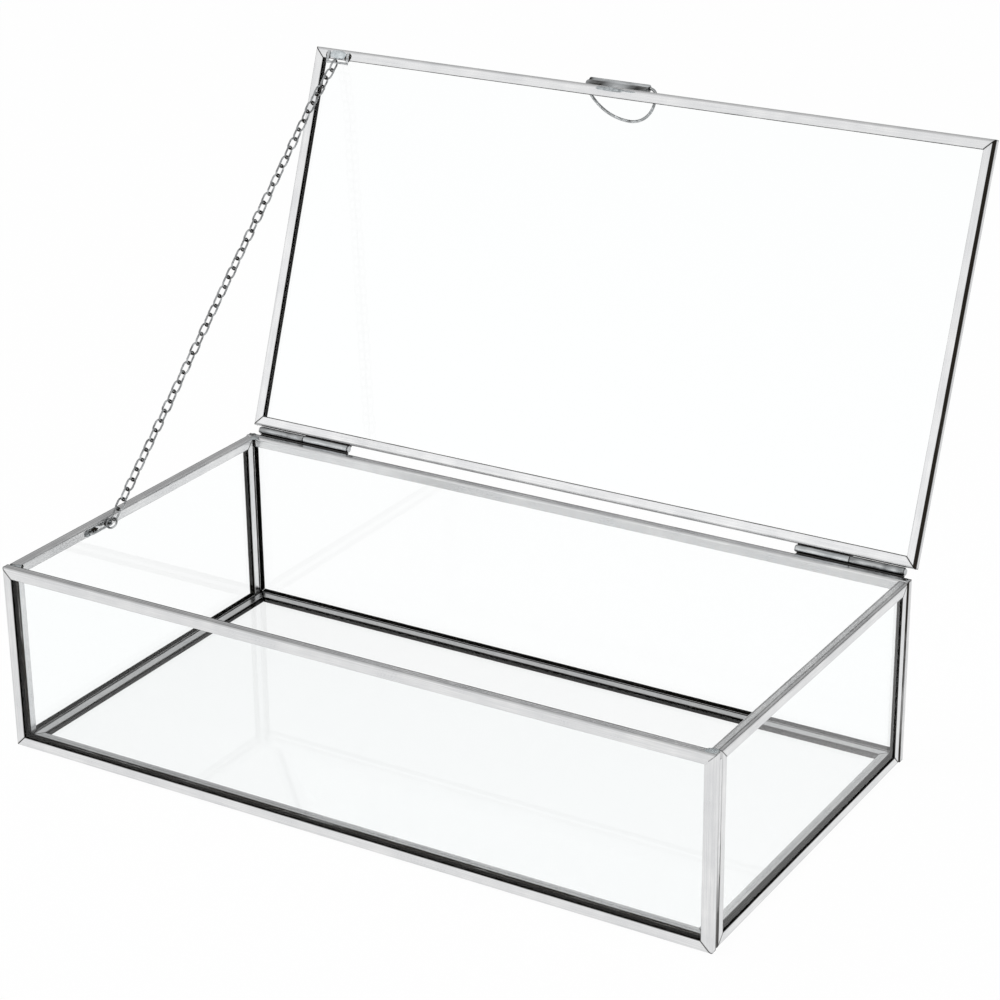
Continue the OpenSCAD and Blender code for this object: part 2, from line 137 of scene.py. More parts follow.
def metal(name, light, dark, roughness, grain, cloud, relief):
    """A metal with a directional grain and slow clouds, both by real sizes in millimetres.

    The mesh's own soot value darkens it: soot at the mitres and in patches, and painted shade and painted
    reflection lines in seams, folds, grooves, gaps and along the strips.
    """
    material, tree = new_material(name)
    place = add(tree, "ShaderNodeTexCoord").outputs["Object"]
    along = add(tree, "ShaderNodeMapping", {"Vector": place, "Scale": [1 / (g * MM) for g in grain]})
    lines = add(tree, "ShaderNodeTexNoise", {"Vector": along.outputs[0], "Scale": 1, "Detail": 3})
    clouds = add(tree, "ShaderNodeTexNoise", {"Vector": place, "Scale": 1 / (cloud * MM), "Detail": 3})
    mixed = maths(tree, "MULTIPLY_ADD", clouds.outputs[0], CLOUD_SHARE, lines.outputs[0])

    def spread(top, low, high):
        """Low where the pattern is darkest, high where it reaches its top."""
        limits = {"Value": mixed, "From Min": 0.5, "From Max": top, "To Min": low, "To Max": high}
        return add(tree, "ShaderNodeMapRange", limits).outputs[0]

    tint = mix_colours(tree, spread(1.05, 0, 1), hex_colour(dark), hex_colour(light))
    soot_and_shade = add(tree, "ShaderNodeAttribute", attribute_name="soot_and_shade").outputs["Fac"]
    darkening = maths(tree, "MULTIPLY", soot_and_shade, spread(1.1, 1.3, 0.7), clamp=True)
    bump = add(tree, "ShaderNodeBump", {"Height": mixed, "Strength": 1, "Distance": relief * MM})
    surface = add(
        tree,
        "ShaderNodeBsdfPrincipled",
        {
            "Base Color": mix_colours(tree, darkening, tint, hex_colour(FLUX_AND_SHADE_BLACK)),
            "Metallic": 1,
            "Roughness": spread(1.1, roughness[1], roughness[0]),
            "Normal": bump.outputs[0],
        },
    )
    add(tree, "ShaderNodeOutputMaterial", {"Surface": surface.outputs[0]})
    return material


# What a clean pane mirrors is faint beside the white room, so its index and its shine are low
GLASS_INDEX, GLASS_SHINE = 1.3, 0.03


def float_glass():
    """Clear float glass: flat, polished, all but colourless, and throwing next to no shadow."""
    material, tree = new_material("clear_float_glass")
    surface = add(
        tree,
        "ShaderNodeBsdfPrincipled",
        {
            "Base Color": hex_colour("#FEFFFF"),
            "Roughness": 0.0,
            "IOR": GLASS_INDEX,
            "Specular IOR Level": GLASS_SHINE,
            "Transmission Weight": 1,
        },
    )
    clear = add(tree, "ShaderNodeBsdfTransparent", {"Color": hex_colour("#FCFFFF")})
    shadow = add(tree, "ShaderNodeLightPath").outputs["Is Shadow Ray"]
    add(tree, "ShaderNodeOutputMaterial", {"Surface": mix_shaders(tree, shadow, surface, clear)})
    return material


# Nickel-plated folded strip: faint drawn lines along it, every 0.35 mm (finer ones would not show)
PLATED_STRIP = metal(
    "nickel_plated_strip",
    light="#E8E8E8",
    dark="#D3D4D6",
    roughness=(0.17, 0.3),
    grain=(22, 0.35, 0.35),
    cloud=9,
    relief=0.003,
)
# Inside of the fold: unplated, and painted dark as the shade inside the channel
BARE_AND_SHADED_INSIDE = metal(
    "bare_and_shaded_strip_inside",
    light="#3A3835",
    dark="#22201D",
    roughness=(0.5, 0.7),
    grain=(6, 1, 1),
    cloud=3,
    relief=0.01,
)
# Drawn tube of the hinges and the pull: fine lines along it, every 0.4 mm
DRAWN_TUBE = metal(
    "drawn_tube",
    light="#E2E4E5",
    dark="#BFC4C7",
    roughness=(0.14, 0.26),
    grain=(10, 0.4, 0.4),
    cloud=4,
    relief=0.005,
)
# Nickel-plated steel wire, smooth and bright, tarnished in patches, and painted dark where the links hook
# together as their shade
PLATED_WIRE = metal(
    "nickel_plated_wire",
    light="#D0D2D3",
    dark="#8B8E90",
    roughness=(0.1, 0.2),
    grain=(3, 0.6, 0.6),
    cloud=2,
    relief=0.003,
)
# Tin solder: bluer and greyer than the plating, with a cast skin
TIN_SOLDER = metal(
    "tin_solder",
    light="#DDE3E5",
    dark="#B4BBBF",
    roughness=(0.2, 0.36),
    grain=(1.2, 1.2, 1.2),
    cloud=1.5,
    relief=0.03,
)
CLEAR_GLASS = float_glass()

# ---------------------------------------------------------------- shapes


def piece(name, shells, finishes, body, nodes=(), place=None, sharp=40):
    """One object on its body, from several shells in millimetres.

    A shell is (points, faces, each face's finish by number, each point's soot and painted shade).
    """
    points, faces, marks, soot_and_shade = [], [], [], []
    for shell_points, shell_faces, shell_marks, shell_soot_and_shade in shells:
        start = len(points)
        points += [Vector(p) * MM for p in shell_points]
        faces += [[start + i for i in f] for f in shell_faces]
        marks += shell_marks
        soot_and_shade += shell_soot_and_shade
    mesh = bpy.data.meshes.new(name)
    mesh.from_pydata(points, [], faces)
    tidy = bmesh.new()
    tidy.from_mesh(mesh)
    for face, mark in zip(tidy.faces, marks):
        face.material_index = mark
    bmesh.ops.recalc_face_normals(tidy, faces=tidy.faces)
    tidy.to_mesh(mesh)
    tidy.free()
    mesh.attributes.new("soot_and_shade", "FLOAT", "POINT").data.foreach_set("value", soot_and_shade)
    mesh.shade_smooth()
    mesh.set_sharp_from_angle(angle=math.radians(sharp))
    for material in finishes:
        mesh.materials.append(material)
    made = bpy.data.objects.new(name, mesh)
    bpy.context.scene.collection.objects.link(made)
    if place is not None:
        made.matrix_world = place
    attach(made, body)
    if nodes:
        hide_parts(*nodes)


def move(x, y, z):
    return Matrix.Translation((x, y, z))


def turn(degrees, axis):
    return Matrix.Rotation(math.radians(degrees), 4, axis)


def in_metres(matrix):
    """The same placing with its shift in metres."""
    made = matrix.copy()
    made.translation = matrix.translation * MM
    return made


def put(place, shell):
    """The shell with its points moved by a matrix."""
    return [place @ Vector(p) for p in shell[0]], *shell[1:]


def band(first, second, count):
    """Faces between two closed rows of that many points, which start at these two numbers."""
    return [[first + k, first + (k + 1) % count, second + (k + 1) % count, second + k] for k in range(count)]


OPENED = move(0, HINGE_Y, HINGE_Z) @ turn(-LID_OPEN, "X") @ move(0, -HINGE_Y, -HINGE_Z)
LEFT, FRONT = -BOX_WIDTH / 2, -BOX_DEPTH / 2


def arc(cx, cy, radius, start, end, steps):
    angles = [math.radians(start + (end - start) * i / steps) for i in range(steps + 1)]
    return [(cx + radius * math.cos(a), cy + radius * math.sin(a)) for a in angles]


def strip_section(darkening):
    """Outside and inside line of the folded strip, the same number of points each, and the outside's painted
    shade.

    The outside has a shallow groove down the middle of its web, as the rolls leave it.
    """
    far, inner, steps = STRIP_DEPTH - FOLD_RADIUS, FOLD_RADIUS - STRIP_WALL, 7
    edge, rim_width, line, beside, groove, groove_depth = 0.08, 0.3, 0.2, 0.5, 0.42, 0.07
    low_fold, high_fold, low_line, middle_line, high_line, rim, leg = darkening
    middle = STRIP_DEPTH / 2
    legs = [STRIP_LEG - rim_width, STRIP_LEG * 0.55, FOLD_RADIUS + line]
    web = [FOLD_RADIUS + line, FOLD_RADIUS + beside, middle - groove, middle]
    web += [middle + groove, far - beside, far - line]
    dip = [groove_depth if z == middle else 0 for z in web]
    outside = (
        [(STRIP_LEG, edge), (STRIP_LEG - edge, 0)]
        + [(y, 0) for y in legs]
        + arc(FOLD_RADIUS, FOLD_RADIUS, FOLD_RADIUS, 270, 180, steps)
        + list(zip(dip, web))
        + arc(FOLD_RADIUS, far, FOLD_RADIUS, 180, 90, steps)
        + [(y, STRIP_DEPTH) for y in legs[::-1]]
        + [(STRIP_LEG - edge, STRIP_DEPTH), (STRIP_LEG, STRIP_DEPTH - edge)]
    )
    soot_and_shade = (
        [rim, rim, 0, leg, 0]
        + [low_fold] * steps
        + [max(low_fold, low_line), low_line, 0, 0, middle_line, 0, 0, high_line, max(high_fold, high_line)]
        + [high_fold] * steps
        + [0, leg, 0, rim, rim]
    )
    inside = (
        [(STRIP_LEG, STRIP_WALL - edge), (STRIP_LEG - edge, STRIP_WALL)]
        + [(y, STRIP_WALL) for y in legs]
        + arc(FOLD_RADIUS, FOLD_RADIUS, inner, 270, 180, steps)
        + [(STRIP_WALL, z) for z in web]
        + arc(FOLD_RADIUS, far, inner, 180, 90, steps)
        + [(y, STRIP_DEPTH - STRIP_WALL) for y in legs[::-1]]
        + [(STRIP_LEG - edge, STRIP_DEPTH - STRIP_WALL), (STRIP_LEG, STRIP_DEPTH - STRIP_WALL + edge)]
    )
    return outside, inside, soot_and_shade


# Soot of a mitre's edge and of the half millimetre beside it, painted shade of the strip's inside, and the
# most soot and shade there is
MITRE_SOOT, BESIDE_MITRE_SOOT, INSIDE_SHADE, MOST_SOOT_AND_SHADE = 1.2, 0.15, 0.3, 1.5
# How far the legs close in and their rims waver, in millimetres
LEG_WAVER, RIM_WAVER = 0.035, 0.06
# Lengths of the legs' and the rims' waves and of the painted shade's patches, in millimetres
LEG_WAVE, RIM_WAVE, SHADE_PATCH = 23, 9, 30
# The fold holds the legs still up to here, and they are free this much further, in millimetres
FOLD_HOLD, FREE_REACH = 1.2, 2


def strip_shell(length, seed, darkening, fade, joint):
    """One mitred strip along x: hand-folded, so its legs waver by a few hundredths of a millimetre.

    Its painted shade changes by the fade from end to end, and the joint says how black each mitre is.
    """
    outside, inside, soot_and_shade = strip_section(darkening)
    loop = outside + inside[::-1]
    count, half = len(loop), len(outside)
    # Rows close together at the mitres, and about every 5 mm between them
    near = [distance / length for distance in (0, 0.3, 0.8, 2)]
    spans = max(10, round(length / 5))
    shares = near + [i / spans for i in range(1, spans)] + [1 - n for n in near[::-1]]
    points, values = [], []
    for share in shares:
        end = min(share, 1 - share) * length
        mitre = (MITRE_SOOT if end < 0.1 else BESIDE_MITRE_SOOT if end < 0.5 else 0) * joint[share > 0.5]
        faded = fade[0] + (fade[1] - fade[0]) * share
        for k, (y, z) in enumerate(loop):
            start = MITRE_SLIT / 2 + y
            x = start + (length - 2 * start) * share
            # The mitres hold the legs still too, over an eighth of the length
            free = min(1, max(0, (y - FOLD_HOLD) / FREE_REACH)) * min(1, 8 * share, 8 * (1 - share))
            side = -1 if z < STRIP_DEPTH / 2 else 1
            # What is added to the side and the seed only keeps the patterns apart
            wave = noise.noise(Vector((x / LEG_WAVE, side * 3.7, seed)))
            rim = noise.noise(Vector((x / RIM_WAVE, side * 7.1, seed + 40)))
            closed = side * free * LEG_WAVER * max(0, 0.5 + wave)
            points.append((x, y + RIM_WAVER * free * rim, z - closed))
            patchy = (1 + 0.5 * noise.noise(Vector((x / SHADE_PATCH, z, seed + 80)))) * faded
            values.append(min(MOST_SOOT_AND_SHADE, max(mitre, soot_and_shade[k] * patchy)) if k < half else INSIDE_SHADE)
    rows = len(shares) - 1
    faces, marks = [], []
    for row in range(rows):
        faces += band(row * count, (row + 1) * count, count)
        marks += [0 if k < half - 1 else 1 for k in range(count)]
    for end in (0, rows * count):
        faces += [[end + k, end + k + 1, end + count - 2 - k, end + count - 1 - k] for k in range(half - 1)]
        marks += [1] * (half - 1)
    return points, faces, marks, values


FRAMES = {
    "front": (move(LEFT, FRONT + STRIP_DEPTH, 0) @ turn(90, "X"), BOX_WIDTH, BOX_HEIGHT),
    "rear": (move(LEFT, -FRONT, 0) @ turn(90, "X"), BOX_WIDTH, BOX_HEIGHT),
    "left": (move(LEFT, -SIDE_LENGTH / 2, 0) @ turn(90, "Z") @ turn(90, "X"), SIDE_LENGTH, BOX_HEIGHT),
    "right": (
        move(-LEFT - STRIP_DEPTH, -SIDE_LENGTH / 2, 0) @ turn(90, "Z") @ turn(90, "X"),
        SIDE_LENGTH,
        BOX_HEIGHT,
    ),
    "base": (move(-BASE_WIDTH / 2, -SIDE_LENGTH / 2, 0), BASE_WIDTH, SIDE_LENGTH),
    "lid": (OPENED @ move(LEFT, FRONT, LID_UNDER), BOX_WIDTH, BOX_DEPTH),
}
UPRIGHT = {"low": "bottom", "high": "top", "near": "left", "far": "right"}
SIDEWAYS = {"low": "bottom", "high": "top", "near": "front", "far": "rear"}
LYING = {"low": "front", "high": "rear", "near": "left", "far": "right"}
SIDE_NAMES = {
    "front": UPRIGHT,
    "rear": UPRIGHT,
    "left": SIDEWAYS,
    "right": SIDEWAYS,
    "base": LYING,
    "lid": LYING,
}

# Painted shade of each strip: its low and high fold, the lines beside the low fold, down the web's middle
# and beside the high fold, the legs' rims, and the line down each leg.
# A fold against a neighbouring frame is painted black as the shade in the groove between them; one on the
# outside is nearly clean. The lines along the webs, and the black fold of the lid's right strip, are painted
# reflections.
STRIP_PAINTED_SHADE = {
    "front_strip_top": (0.9, 0.06, 0.4, 0.45, 0.4, 0.2, 0),
    "front_strip_bottom": (1, 0.06, 0.7, 0.6, 0.4, 0.3, 0),
    "front_strip_left": (1, 0.06, 0.5, 0.3, 0.2, 0.3, 0),
    "front_strip_right": (0.9, 0.03, 0.7, 0, 0.1, 0.2, 0),
    "rear_strip_top": (0.9, 0.05, 0.8, 0.15, 0.2, 0.3, 0),
    "rear_strip_bottom": (0.1, 1, 0.2, 0.3, 0.5, 0.3, 0),
    "rear_strip_left": (0.1, 1, 0.2, 0.3, 0.5, 0.3, 0),
    "rear_strip_right": (0.1, 1, 0.2, 0.3, 0.5, 0.3, 0),
    "left_strip_top": (0.3, 0.15, 0.3, 0.35, 0.3, 0.3, 0),
    "left_strip_bottom": (0.1, 1, 0.2, 0.2, 0.5, 0.3, 0),
    "left_strip_front": (0.9, 1, 0.5, 0, 0.5, 0.3, 0),
    "left_strip_rear": (0.9, 1, 0.5, 0, 0.5, 0.3, 0),
    "right_strip_top": (0.3, 0.16, 0.2, 0, 0.6, 0.15, 0),
    "right_strip_bottom": (1.4, 0.1, 0.8, 0.2, 0.2, 0.3, 0),
    "right_strip_front": (1, 0.75, 0.5, 0, 0.5, 0.3, 0),
    "right_strip_rear": (1, 0.75, 0.5, 0, 0.5, 0.3, 0),
    "base_strip_front": (0.8, 1.0, 0.5, 0, 0.4, 0.7, 0.3),
    "base_strip_rear": (0.8, 1, 0.5, 0, 0.5, 0.5, 0),
    "base_strip_left": (0.8, 0.85, 0.5, 0, 0.5, 0.4, 0),
    "base_strip_right": (0.8, 1.3, 0.5, 0, 0.5, 0.6, 0.2),
    "lid_strip_front": (0.1, 0.3, 0.1, 0.1, 0.4, 0.12, 0),
    "lid_strip_rear": (0.35, 0.2, 0.4, 0.2, 0.4, 0.15, 0),
    "lid_strip_left": (0.1, 0.3, 0.2, 0.2, 0.4, 0.3, 0),
    "lid_strip_right": (1.5, 0.3, 1.5, 0.3, 0.4, 0.3, 0),
}
# How that painted shade changes from one end of a strip to the other
SHADE_FADES = {"front_strip_right": (1, 0.1), "right_strip_front": (0.3, 1.3), "lid_strip_rear": (0.5, 1.3)}
# How black the mitre is at each end of a strip: solder covers those of the front right corner
MITRES = {"front_strip_top": (0.15, 1), "front_strip_right": (1.2, 0.15), "right_strip_front": (0.15, 1.2)}


def fold_frames():
    """The twenty-four strips, each in its own frame with x along it, so that its grain runs its length."""
    seed = 0
    for name, (at, across, along) in FRAMES.items():
        places = {
            "low": (Matrix.Identity(4), across),
            "high": (move(across, along, 0) @ turn(180, "Z"), across),
            "near": (move(0, along, 0) @ turn(-90, "Z"), along),
            "far": (move(across, 0, 0) @ turn(90, "Z"), along),
        }
        for side, (place, length) in places.items():
            seed += 1
            node = f"{name}_strip_{SIDE_NAMES[name][side]}"
            fade, joint = SHADE_FADES.get(node, (1, 1)), MITRES.get(node, (1, 1))
            strip = strip_shell(length, seed, STRIP_PAINTED_SHADE[node], fade, joint)
            body = "lid" if name == "lid" else "case"
            finishes = [PLATED_STRIP, BARE_AND_SHADED_INSIDE]
            piece(f"folded_{node}", [strip], finishes, body, [node], in_metres(at @ place))


def wire_shell(line, wire, sides, place, soot_and_shade):
    """Closed loop of round wire along a line of [x, z, angle of the outward normal], in the plane y = 0.

    The soot and painted shade is one value for each point of the line.
    """
    points, faces, values = [], [], []
    radius = wire / 2
    for i, (x, z, angle) in enumerate(line):
        a = math.radians(angle)
        values += [soot_and_shade[i]] * sides
        for k in range(sides):
            t = math.tau * k / sides
            out, off = radius * math.cos(t), radius * math.sin(t)
            points.append(place @ Vector((x + out * math.cos(a), off, z + out * math.sin(a))))
        faces += band(i * sides, (i + 1) % len(line) * sides, sides)
    return points, faces, [0] * len(faces), values


def tube_shell(length, radius, bore, soot_and_shade, sides=40, spans=12, rim=0.15, chamfer=0.12):
    """Tube along x round the origin; soot and painted shade is asked at each angle in degrees and each
    millimetre along it, and the bore is painted black as its shade.
    """
    rows = [0, rim] + [length * i / spans for i in range(1, spans)] + [length - rim, length]
    last = len(rows) - 1
    points, values = [], []
    for row, x in enumerate(rows):
        for r in (radius - (chamfer if row in (0, last) else 0), bore):
            for k in range(sides):
                angle = 360 * k / sides
                a = math.radians(angle)
                points.append((x, r * math.cos(a), r * math.sin(a)))
                values.append(soot_and_shade(angle, x) if r > bore else 1.0)
    faces = []
    for row in range(last):
        for ring in (0, sides):
            faces += band(row * 2 * sides + ring, (row + 1) * 2 * sides + ring, sides)
    for end in (0, last * 2 * sides):
        faces += band(end, end + sides, sides)
    return points, faces, [0] * len(faces), values


def run_shell(section, length, soot_and_shade, seed):
    """Solder run along x with a (y, z) section, its skin uneven by a few hundredths of a millimetre."""
    step, uneven, lump, count = 1.5, 0.05, 2.3, len(section)
    rows = max(4, round(length / step))
    points, values = [], []
    for row in range(rows + 1):
        x = length * row / rows
        for k, (y, z) in enumerate(section):
            shift = uneven * noise.noise(Vector((x / lump, k * 3.1, seed)))
            points.append((x, y + shift, z + shift))
            values.append(soot_and_shade(row / rows))
    faces = [face for row in range(rows) for face in band(row * count, (row + 1) * count, count)]
    faces += [list(range(count)), list(range(rows * count, (rows + 1) * count))]
    return points, faces, [0] * len(faces), values


def blob_shell(centre, radii, soot_and_shade, seed):
    """Drop of solder, flattened and lumpy, kept inside the box's outer faces."""
    rings, sides, inset = 9, 16, 0.02
    points = [Vector((0, 0, 1))]
    for i in range(1, rings):
        for k in range(sides):
            a, b = math.pi * i / rings, math.tau * k / sides
            points.append(Vector((math.sin(a) * math.cos(b), math.sin(a) * math.sin(b), math.cos(a))))
    points.append(Vector((0, 0, -1)))
    last = len(points) - 1
    faces = [[0, 1 + k, 1 + (k + 1) % sides] for k in range(sides)]
    faces += [[last, last - sides + (k + 1) % sides, last - sides + k] for k in range(sides)]
    for i in range(rings - 2):
        faces += band(1 + i * sides, 1 + (i + 1) * sides, sides)
    limit = BOX_WIDTH / 2 - inset
    placed, values = [], []
    for p in points:
        lumpy = 1 + 0.35 * noise.noise(p * 1.3 + Vector((seed, 0, 0)))
        q = Vector([c + r * lumpy * v for c, r, v in zip(centre, radii, p)])
        placed.append((max(-limit, min(limit, q.x)), max(FRONT + inset, q.y), q.z))
        values.append(max(0, soot_and_shade * (1 + noise.noise(p * 2.1 + Vector((seed, 5, 0))))))
    return placed, faces, [0] * len(faces), values


def bend(x, z, radius, start, end, steps):
    """Arc of a wire's line, each point with the angle of its outward normal."""
    angles = [start + (end - start) * i / steps for i in range(steps + 1)]
    return [(cx, cz, a) for (cx, cz), a in zip(arc(x, z, radius, start, end, steps), angles)]


def tarnish(line, seed, strength):
    """Soot along a wire, in patches of some millimetres."""
    patch = 2.5
    clouds = [noise.noise(Vector((x / patch, z / patch, seed))) for x, z, _ in line]
    return [max(0, strength * (0.4 + 1.6 * cloud)) for cloud in clouds]


# ---------------------------------------------------------------- ring pull


def make_pull():
    """Closed wire ring: a straight bar in the tube, a tight left bend, a rounder right bow."""
    left = PULL_CENTRE - PULL_LENGTH / 2 - PULL_BARE
    right = PULL_CENTRE + PULL_LENGTH / 2 + PULL_BARE
    bow_x, bow_z = right + PULL_RIGHT_BEND - PULL_BOW, PULL_RIGHT_BEND + PULL_DROP
    span, sag = bow_x - left, bow_z + PULL_BOW - 2 * PULL_LEFT_BEND
    reach = (span**2 + sag**2) / (2 * sag)
    sweep = reach + PULL_LEFT_BEND
    turned = math.degrees(math.atan2(reach - sag, -span))
    line = (
        bend(right, PULL_RIGHT_BEND, PULL_RIGHT_BEND, -90, 0, 14)
        + bend(bow_x, bow_z, PULL_BOW, 0, 90, 36)
        + bend(bow_x, bow_z + PULL_BOW - sweep, sweep, 90, turned, 26)[1:]
        + bend(left, PULL_LEFT_BEND, PULL_LEFT_BEND, turned, 270, 20)[1:]
        + [(left + (right - left) * i / 8, 0, 270) for i in range(1, 8)]
    )
    hang = OPENED @ Vector((0, PULL_Y, PULL_Z))
    ring = wire_shell(line, PULL_WIRE, 20, move(*hang) @ turn(180, "X"), tarnish(line, 3, 0.5))
    piece("bent_pull_ring", [ring], [PLATED_WIRE], "ring", ["pull_ring"])


# ---------------------------------------------------------------- chain

RING_RADIUS = (JUMP_RING - LINK_WIRE) / 2
LINKS = LENGTHS * LINKS_PER_LENGTH


def chain_path():
    """How the chain hangs: a placing by distance down it, and the link's length.

    Then the first link's distance, the pitch and the jump ring's distance.
    """
    bar = OPENED @ Vector(
        (LEFT + LID_STAPLE_INSET, FRONT + STRIP_LEG + LID_STAPLE_REACH, LID_UNDER - LID_STAPLE_HEIGHT)
    )
    top = Vector((bar.y, bar.z))
    staple_end = FRONT + WALL_STAPLE_INSET + WALL_STAPLE_LENGTH - STAPLE_WIRE - STAPLE_BEND
    foot = Vector((staple_end - CHAIN_FOOT_AIR, BOX_HEIGHT - WALL_STAPLE_DROP))
    foot_x = LEFT + STRIP_DEPTH + WALL_STAPLE_HEIGHT + CHAIN_FOOT_AIR
    way = foot - top
    ring_hold = RING_RADIUS - LINK_WIRE / 2 - STAPLE_WIRE * 0.75 - LINK_AIR
    bar_hold = (STAPLE_WIRE + LINK_WIRE) / 2 + LINK_AIR / 2
    hook = LINK_WIRE + LINK_AIR
    knee_share = KNEE_LINKS / LINKS
    run = way.length + CHAIN_BOW**2 / (2 * way.length * knee_share * (1 - knee_share))
    pitch = (run - RING_RADIUS - ring_hold - LINK_WIRE - LINK_AIR + bar_hold + hook) / (LINKS - 1)
    link_length = pitch + 2 * LINK_WIRE + LINK_AIR
    top_run = KNEE_LINKS * pitch
    slope = math.atan2(-way.y, -way.x) - math.asin(CHAIN_BOW / top_run)
    down = Vector((math.cos(slope), math.sin(slope)))
    low = top - top_run * down - foot
    low_down = low.normalized()
    low_slope = math.atan2(low.y, low.x)

    def at(distance):
        """Place of that point of the chain, turned so that Z runs up along it."""
        bent, past = min(distance, top_run), max(0, distance - top_run)
        spot = top - bent * down - past * low_down
        x = bar.x + (foot_x - bar.x) * distance / way.length
        aim = slope if distance < top_run else low_slope
        return move(x, spot.x, spot.y) @ turn(math.degrees(aim) - 90, "X")

    first = (link_length - LINK_WIRE) / 2 - bar_hold
    return at, link_length, first, pitch, low.length + top_run - ring_hold


def make_chain():
    """Forty-nine soldered links and a jump ring: each second link is turned by a quarter."""
    at, link_length, first, pitch, ring_at = chain_path()
    sides, swing = 12, 7
    radius = (LINK_WIDTH - LINK_WIRE) / 2
    straight = (link_length - LINK_WIDTH) / 2
    oval = bend(0, straight, radius, 0, 180, 16) + bend(0, -straight, radius, 180, 360, 16)
    # The links are painted darkest at their two ends, as the shade where they hook into each other
    hook_shade = [0.9 * math.sin(math.radians(angle)) ** 4 for _, _, angle in oval]
    hoop = bend(0, 0, RING_RADIUS, 0, 350, 35)
    shaking = random.Random(11)
    shells = []
    for i in range(LINKS - 1):
        loose = turn(shaking.uniform(-swing, swing), "Z") if i > 0 else Matrix.Identity(4)
        place = at(first + i * pitch) @ turn(90 if i % 2 == 0 else 0, "Z") @ loose
        soot_and_shade = [w + t for w, t in zip(hook_shade, tarnish(oval, i, 0.4))]
        shells.append(wire_shell(oval, LINK_WIRE, sides, place, soot_and_shade))
    shells.append(wire_shell(hoop, LINK_WIRE, sides, at(ring_at), tarnish(hoop, LINKS - 1, 0.6)))
    for number in range(LENGTHS):
        links = shells[number * LINKS_PER_LENGTH : (number + 1) * LINKS_PER_LENGTH]
        body, node = f"chain_length_{number + 1:02d}", f"chain_{number + 1:02d}"
        piece(f"chain_links_{number + 1:02d}", links, [PLATED_WIRE], body, [node])


# ---------------------------------------------------------------- hinges and solder

# Corners that count as sharp on tubes and on solder, in degrees
TUBE_SHARP, SOLDER_SHARP = 50, 60
# Painted shade lines down the tubes where they meet the lid and the rail, each (angle round the tube, half
# width, soft width) in degrees
HINGE_SHADE_LINES = ((236, 18, 22), (74, 20, 24))
# Dark lines down the pull tube: painted shade where it meets the strip, and a weaker dark line on its far
# side
PULL_SHADE_LINE, PULL_BACK_LINE = (340, 14, 16), (175, 12, 20)
# The filled seam ends this far from the post's foot and top, in millimetres
SEAM_INSET = 3


def near_angle(angle, aim, half, soft):
    """1 within that half width of an angle, falling to 0 over the soft width."""
    off = abs((angle - aim + 180) % 360 - 180)
    return max(0, min(1, 1 - (off - half) / soft))


def make_hinges():
    """Smooth drawn tubes, painted black along both sides as the shade where they meet the lid and the rail,
    and at their ends as the shade in the gaps, with black solder runs under them as the shade beneath.
    """

    def knuckle(seed, strength):
        def soot_and_shade(angle, x):
            lines = [near_angle(angle, *line) for line in HINGE_SHADE_LINES]
            cloud = 0.55 + 0.6 * noise.noise(Vector((x / 4, math.radians(angle), seed)))
            # The ends are painted black as the shade in the gaps between the knuckles
            gap_shade = 1.1 if min(x, KNUCKLE_LENGTH - x) < 0.1 else 0
            return max(*lines, strength * cloud, gap_shade)

        return tube_shell(KNUCKLE_LENGTH, KNUCKLE_RADIUS, KNUCKLE_BORE, soot_and_shade)

    wall_tube, lid_tube = knuckle(1, 0.95), knuckle(2, 0.3)
    # The black solder runs under the knuckles stand in for the shade beneath the tubes
    under = [(-1.66, -1.5), (-1.2, -1.84), (0.2, -1.78), (-0.5, -2.7), (-1.63, -3.5)]
    wall_shade_run = run_shell(under, HINGE_LENGTH, lambda share: 1.2, 4)
    seat = [(0.3, 1.1), (-1.33, 2.4), (-1.93, 2.4), (-1.93, 0.2), (-1.0, 0.1)]
    lid_shade_run = run_shell(seat, KNUCKLE_LENGTH, lambda share: 1.0, 6)
    axis = move(0, HINGE_Y, HINGE_Z)
    for side, start in (("left", -HINGE_X - HINGE_LENGTH), ("right", HINGE_X)):
        far = start + HINGE_LENGTH - KNUCKLE_LENGTH
        wall_at, lid_at = (start, far) if side == "left" else (far, start)
        on_wall, on_lid, run_at = [move(x, 0, 0) @ axis for x in (wall_at, lid_at, start)]
        for part, body, shells in (
            ("wall", "case", [put(on_wall, wall_tube), put(run_at, wall_shade_run)]),
            ("lid", "lid", [put(on_lid, lid_tube), put(OPENED @ on_lid, lid_shade_run)]),
        ):
            name, node = f"{side}_hinge_tube_on_{part}", f"{side}_hinge_{part}_knuckle"
            piece(name, shells, [DRAWN_TUBE], body, [node], sharp=TUBE_SHARP)


def make_pull_tube():
    """Tube on the lid's front edge: its left end black, a painted shade line where it meets the strip, over
    a solder run darkened as the shade beneath it.
    """

    def smoked(angle, x):
        line = near_angle(angle, *PULL_SHADE_LINE)
        back = near_angle(angle, *PULL_BACK_LINE) * 0.5
        cloud = 0.45 * (0.3 + noise.noise(Vector((x / 5, math.radians(angle), 9))))
        left_end = 1.3 - x * 0.8
        return max(line, back, cloud, left_end)

    tube = tube_shell(PULL_LENGTH, PULL_TUBE_RADIUS, PULL_WIRE / 2 + PULL_AIR, smoked)
    at = OPENED @ move(PULL_CENTRE - PULL_LENGTH / 2, 0, 0)
    under = [(-80.35, 79.4), (-80.06, 78.9), (-80.06, 76.6), (-80.5, 76.7), (-82.3, 79.1), (-81.6, 79.2)]
    # The solder run is darkened as painted shade beneath the tube
    solder = run_shell(under, PULL_LENGTH, lambda share: 0.5 + 0.4 * math.sin(9 * share), 8)
    shells = [put(at @ move(0, PULL_Y, PULL_Z), tube), put(at, solder)]
    piece("drawn_pull_tube", shells, [DRAWN_TUBE], "lid", ["pull_tube"], sharp=TUBE_SHARP)


